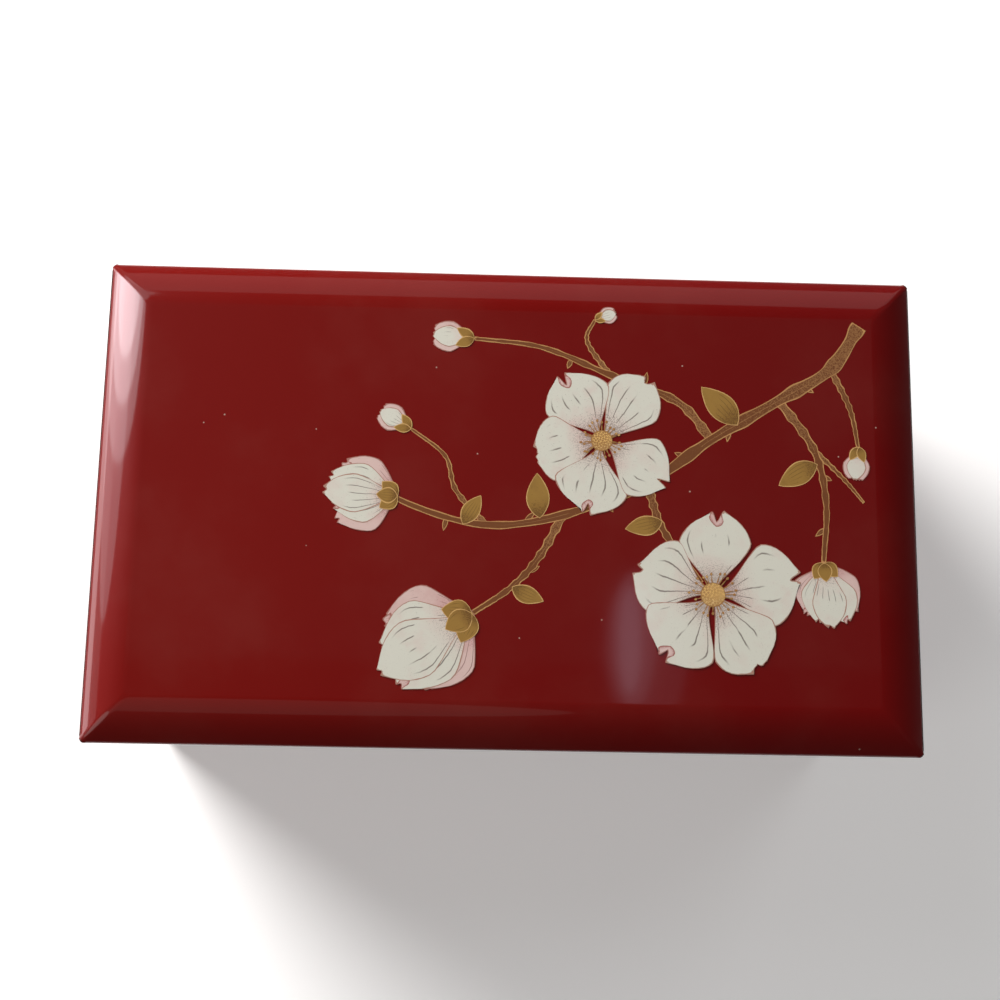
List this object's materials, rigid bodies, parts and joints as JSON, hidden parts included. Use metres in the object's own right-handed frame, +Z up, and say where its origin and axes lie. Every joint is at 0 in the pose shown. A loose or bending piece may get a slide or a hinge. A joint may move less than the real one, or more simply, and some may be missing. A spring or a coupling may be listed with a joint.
{
  "type": "musical jewelry box",
  "caption": "Lacquered musical jewelry box with a bevelled hinged lid, lined tray, front drawer and a key-wound comb-and-cylinder movement.",
  "frame": {"origin": "centre of the underside of the felt under the base, on which the box stands", "axes": "+X to the right, +Y from the drawer front to the hinged back, +Z up"},
  "size_m": [0.216, 0.1372, 0.098],
  "materials": {
    "lacquer": "high gloss lacquer",
    "inner_wood": "satin",
    "velvet": "flocked velvet",
    "brass": "polished",
    "steel": "ground",
    "fan_plastic": "satin",
    "mirror": "silvered glass",
    "felt": "matt felt",
    "clear_plastic": "clear"
  },
  "bodies": {
    "case": {"base_felt": "felt", "base_panel": "lacquer", "left_wall": "lacquer", "right_wall": "lacquer", "back_wall": "lacquer", "front_rail": "lacquer", "tray_shelf": "inner_wood", "drawer_stop": "inner_wood", "hinge_case_leaf_left": "brass", "hinge_case_leaf_right": "brass", "hinge_pin_left": "brass", "hinge_pin_right": "brass", "hinge_case_screws": "brass", "tray_lining": "velvet", "tray_floor": "velvet", "divider_rear": "velvet", "divider_rings": "velvet", "divider_cross": "velvet", "divider_small": "velvet", "ring_roll_1": "velvet", "ring_roll_2": "velvet", "ring_roll_3": "velvet", "ring_roll_4": "velvet", "ring_roll_5": "velvet", "cover_front": "clear_plastic", "cover_side": "clear_plastic", "cover_top": "clear_plastic", "movement_plate": "brass", "music_comb": "steel", "comb_screws": "steel", "plate_screws": "steel", "frame_screws": "steel", "barrel_bridge": "brass", "governor_bracket": "steel"},
    "lid": {"lid_shell": "lacquer", "lid_lining": "velvet", "mirror": "mirror", "hinge_lid_leaf_left": "brass", "hinge_lid_leaf_right": "brass", "hinge_lid_screws": "brass"},
    "drawer": {"drawer_front": "lacquer", "drawer_left": "inner_wood", "drawer_right": "inner_wood", "drawer_back": "inner_wood", "drawer_bottom": "inner_wood", "drawer_lining": "velvet"},
    "cylinder": {"music_cylinder": "brass", "cylinder_gear": "brass", "cylinder_pinion": "brass"},
    "barrel": {"spring_barrel": "steel"},
    "key": {"winding_arbor": "steel", "winding_key": "brass"},
    "governor": {"governor_wheel": "brass"},
    "fan": {"governor_fan": "fan_plastic"},
    "lever": {"stop_lever": "steel"}
  },
  "joints": [
    {"name": "lid_hinge", "type": "hinge", "parent": "case", "child": "lid", "pos_m": [0, 0.0657, 0.07825], "axis": [-1, 0, 0], "range_deg": [0, 100]},
    {"name": "drawer_slide", "type": "slide", "parent": "case", "child": "drawer", "axis": [0, -1, 0], "range_m": [0, 0.065]},
    {"name": "cylinder_spin", "type": "hinge", "parent": "case", "child": "cylinder", "pos_m": [-0.0866, 0.0366, 0.062], "axis": [1, 0, 0], "continuous": true},
    {"name": "key_wind", "type": "hinge", "parent": "case", "child": "key", "pos_m": [-0.05235, 0.0635, 0.062], "axis": [0, 1, 0], "continuous": true},
    {"name": "barrel_spin", "type": "hinge", "parent": "case", "child": "barrel", "pos_m": [-0.05235, 0.04053, 0.062], "axis": [0, 1, 0], "continuous": true},
    {"name": "governor_spin", "type": "hinge", "parent": "case", "child": "governor", "pos_m": [-0.0931, 0.04235, 0.05464], "axis": [1, 0, 0], "continuous": true},
    {"name": "fan_spin", "type": "hinge", "parent": "case", "child": "fan", "pos_m": [-0.0931, 0.04235, 0.04859], "axis": [0, 1, 0], "continuous": true},
    {"name": "stop_lever_swing", "type": "hinge", "parent": "case", "child": "lever", "pos_m": [-0.0979, 0.047, 0.0665], "axis": [-1, 0, 0], "range_deg": [0, 10]}
  ],
  "couplings": [
    {"joint": "barrel_spin", "follows": "cylinder_spin", "ratio": 0.41667},
    {"joint": "governor_spin", "follows": "cylinder_spin", "ratio": -3},
    {"joint": "fan_spin", "follows": "cylinder_spin", "ratio": 48},
    {"joint": "stop_lever_swing", "follows": "lid_hinge", "ratio": 0.1}
  ]
}
